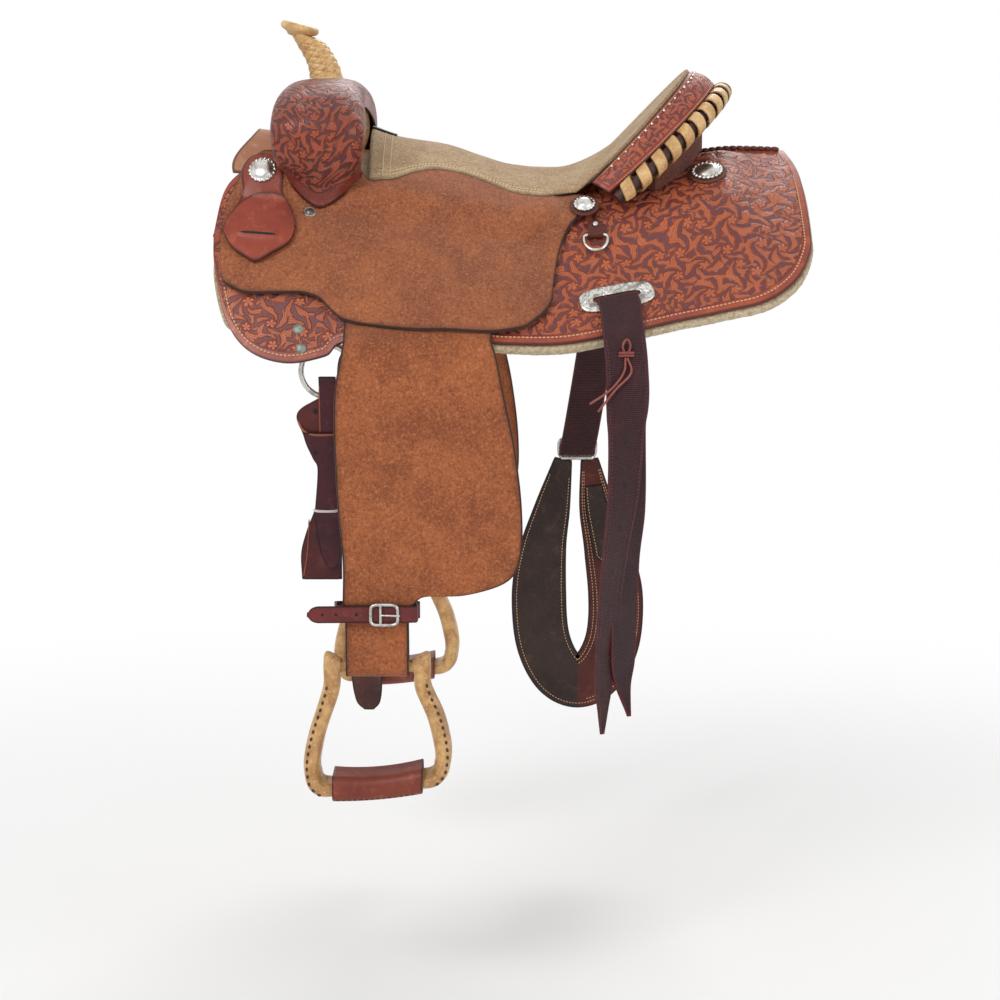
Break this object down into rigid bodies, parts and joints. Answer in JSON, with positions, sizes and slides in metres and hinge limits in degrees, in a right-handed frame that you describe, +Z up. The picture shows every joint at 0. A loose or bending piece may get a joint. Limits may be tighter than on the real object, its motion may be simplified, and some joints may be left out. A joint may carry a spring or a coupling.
{
  "type": "barrel racing saddle",
  "caption": "Barrel racing saddle with a tooled fork and skirts, rough-out jockeys, suede seat, rawhide-laced cantle, rawhide horn and stirrups, fenders, billets and a flank cinch.",
  "frame": {"origin": "on the middle line under the rider's seat, at the level where a back or a rack carries the tree", "axes": "+X from the horn towards the cantle, -Y is the near (left) side, +Z up"},
  "size_m": [0.6653, 0.5618, 0.8827],
  "materials": {
    "tooled_leather": "tooled and oiled",
    "roughout": "flesh side out",
    "suede": "soft suede",
    "rawhide": "varnished rawhide",
    "liner_leather": "plain tan leather",
    "strap_leather": "latigo leather",
    "dark_leather": "dark oiled leather",
    "fleece": "wool",
    "nylon": "ribbed webbing",
    "silver": "engraved silver",
    "nickel": "polished nickel plate",
    "steel": "painted steel",
    "wood": "rawhide-covered wood"
  },
  "bodies": {
    "saddle": {"cantle_band": "tooled_leather", "cantle_board": "wood", "cantle_lacing": "rawhide", "cantle_roll": "dark_leather", "dee_tab_near": "tooled_leather", "dee_tab_off": "tooled_leather", "fleece_near": "fleece", "fleece_off": "fleece", "fork": "wood", "fork_cover": "tooled_leather", "front_concho_near": "silver", "front_concho_off": "silver", "ground_seat": "steel", "gullet_liner": "liner_leather", "horn_cap": "rawhide", "horn_core": "steel", "horn_wrap": "rawhide", "latigo_keeper_near": "roughout", "latigo_keeper_off": "roughout", "rear_concho_near": "silver", "rear_concho_off": "silver", "rear_rosette_near": "dark_leather", "rear_rosette_off": "dark_leather", "seat": "suede", "seat_concho_near": "silver", "seat_concho_off": "silver", "seat_jockey_near": "roughout", "seat_jockey_off": "roughout", "seat_rosette_near": "dark_leather", "seat_rosette_off": "dark_leather", "skirt_near": "tooled_leather", "skirt_off": "tooled_leather", "slot_plate_near": "silver", "slot_plate_off": "silver", "tree_bar_near": "wood", "tree_bar_off": "wood"},
    "fender_near": {"fender_near": "roughout", "stirrup_leather_near": "roughout", "hobble_strap_near": "strap_leather", "hobble_buckle_near": "nickel"},
    "stirrup_near": {"stirrup_near": "rawhide", "stirrup_tread_near": "dark_leather"},
    "dee_near": {"rear_dee_near": "nickel"},
    "fender_off": {"fender_off": "roughout", "stirrup_leather_off": "roughout", "hobble_strap_off": "strap_leather", "hobble_buckle_off": "nickel"},
    "stirrup_off": {"stirrup_off": "rawhide", "stirrup_tread_off": "dark_leather"},
    "dee_off": {"rear_dee_off": "nickel"},
    "latigo": {"rigging_ring_near": "nickel", "latigo": "strap_leather"},
    "off_billet": {"rigging_ring_off": "nickel", "off_billet": "strap_leather"},
    "rear_billet_near": {"rear_billet_near": "nylon"},
    "rear_billet_off": {"rear_billet_off": "nylon", "cinch_buckle": "nickel"},
    "flank_cinch": {"flank_cinch": "dark_leather"}
  },
  "joints": [
    {"name": "fender_near_lift", "type": "hinge", "parent": "saddle", "child": "fender_near", "pos_m": [-0.095, -0.2471, -0.11016], "axis": [-1, 0, 0], "range_deg": [0, 70]},
    {"name": "stirrup_near_swing", "type": "hinge", "parent": "fender_near", "child": "stirrup_near", "pos_m": [-0.1475, -0.2526, -0.46816], "axis": [-1, 0, 0], "range_deg": [-35, 45]},
    {"name": "dee_near_swing", "type": "hinge", "parent": "saddle", "child": "dee_near", "pos_m": [0.09428, -0.14944, -0.00159], "axis": [-0.999, 0.0344, -0.0281], "range_deg": [0, 90]},
    {"name": "fender_off_lift", "type": "hinge", "parent": "saddle", "child": "fender_off", "pos_m": [-0.095, 0.2471, -0.11016], "axis": [1, 0, 0], "range_deg": [0, 70]},
    {"name": "stirrup_off_swing", "type": "hinge", "parent": "fender_off", "child": "stirrup_off", "pos_m": [-0.1475, 0.2526, -0.46816], "axis": [1, 0, 0], "range_deg": [-3, 45]},
    {"name": "dee_off_swing", "type": "hinge", "parent": "saddle", "child": "dee_off", "pos_m": [0.09428, 0.14944, -0.00159], "axis": [0.999, 0.0344, 0.0281], "range_deg": [0, 90]},
    {"name": "latigo_swing", "type": "hinge", "parent": "saddle", "child": "latigo", "pos_m": [-0.201, -0.21975, -0.145], "axis": [0, 1, 0], "range_deg": [-25, 25]},
    {"name": "off_billet_swing", "type": "hinge", "parent": "saddle", "child": "off_billet", "pos_m": [-0.201, 0.21975, -0.145], "axis": [0, 1, 0], "range_deg": [-25, 25]},
    {"name": "rear_billet_near_swing", "type": "hinge", "parent": "saddle", "child": "rear_billet_near", "pos_m": [0.11591, -0.20214, -0.06452], "axis": [-0.9778, -0.1207, -0.1715], "range_deg": [0, 80]},
    {"name": "rear_billet_off_swing", "type": "hinge", "parent": "saddle", "child": "rear_billet_off", "pos_m": [0.11591, 0.20214, -0.06452], "axis": [0.9778, -0.1207, 0.1715], "range_deg": [0, 80]},
    {"name": "flank_cinch_swing", "type": "hinge", "parent": "rear_billet_off", "child": "flank_cinch", "pos_m": [0.085, 0.2511, -0.3189], "axis": [1, 0, 0], "range_deg": [-40, 40]}
  ]
}
